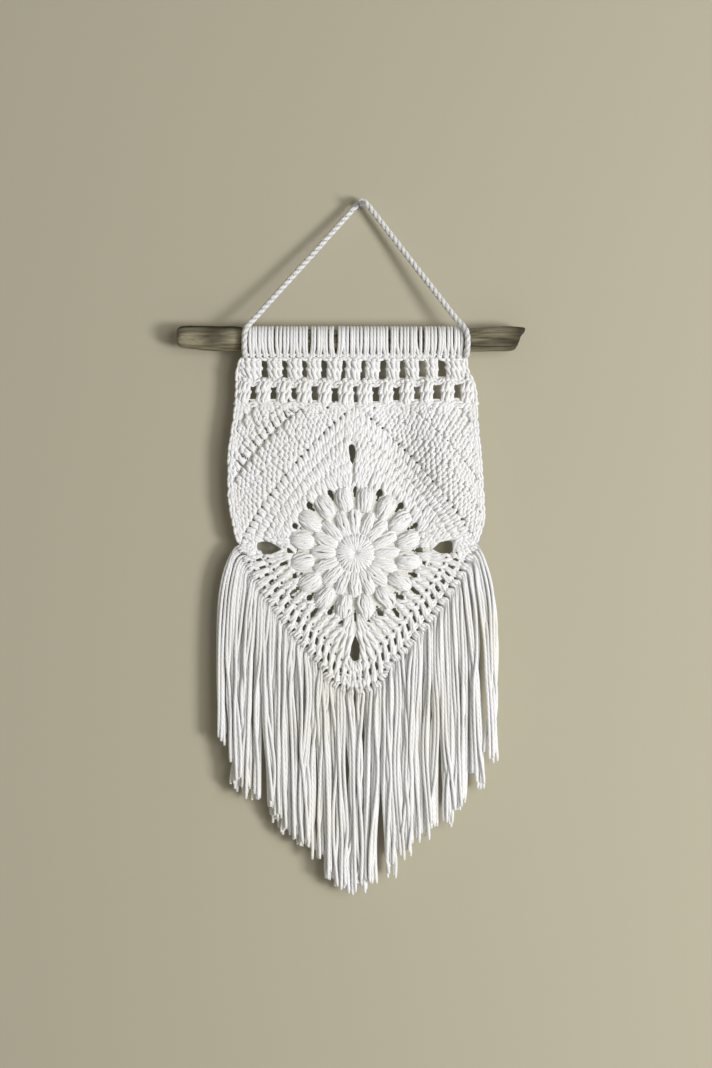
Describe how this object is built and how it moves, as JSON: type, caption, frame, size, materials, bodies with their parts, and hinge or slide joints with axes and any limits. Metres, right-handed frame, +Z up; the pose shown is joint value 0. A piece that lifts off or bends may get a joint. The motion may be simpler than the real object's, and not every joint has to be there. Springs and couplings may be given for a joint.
{
  "type": "crochet wall hanging on a driftwood stick, with its nail",
  "caption": "Cotton crochet wall hanging with a flower diamond and long fringe, looped over a driftwood stick and hung by a twisted cord from a nail.",
  "frame": {"origin": "centre of the nail's end, on the wall's plane", "axes": "+Z up, +Y into the wall, +X to the viewer's right"},
  "size_m": [0.2207, 0.0233, 0.4375],
  "materials": {
    "driftwood": "weathered, matt, grey brown with dark grain",
    "cotton_yarn": "matt plied cotton yarn, off-white",
    "cotton_fringe": "matt plied cotton yarn, off-white, cut ends",
    "cotton_cord": "matt cotton yarn twisted in two strands",
    "nail_steel": "dull grey steel"
  },
  "bodies": {
    "root": {"driftwood_stick": "driftwood", "heading_loops": "cotton_yarn", "crochet_panel": "cotton_yarn", "fringe_left": "cotton_fringe", "fringe_right": "cotton_fringe", "hanging_cord": "cotton_cord", "nail": "nail_steel"}
  },
  "joints": []
}
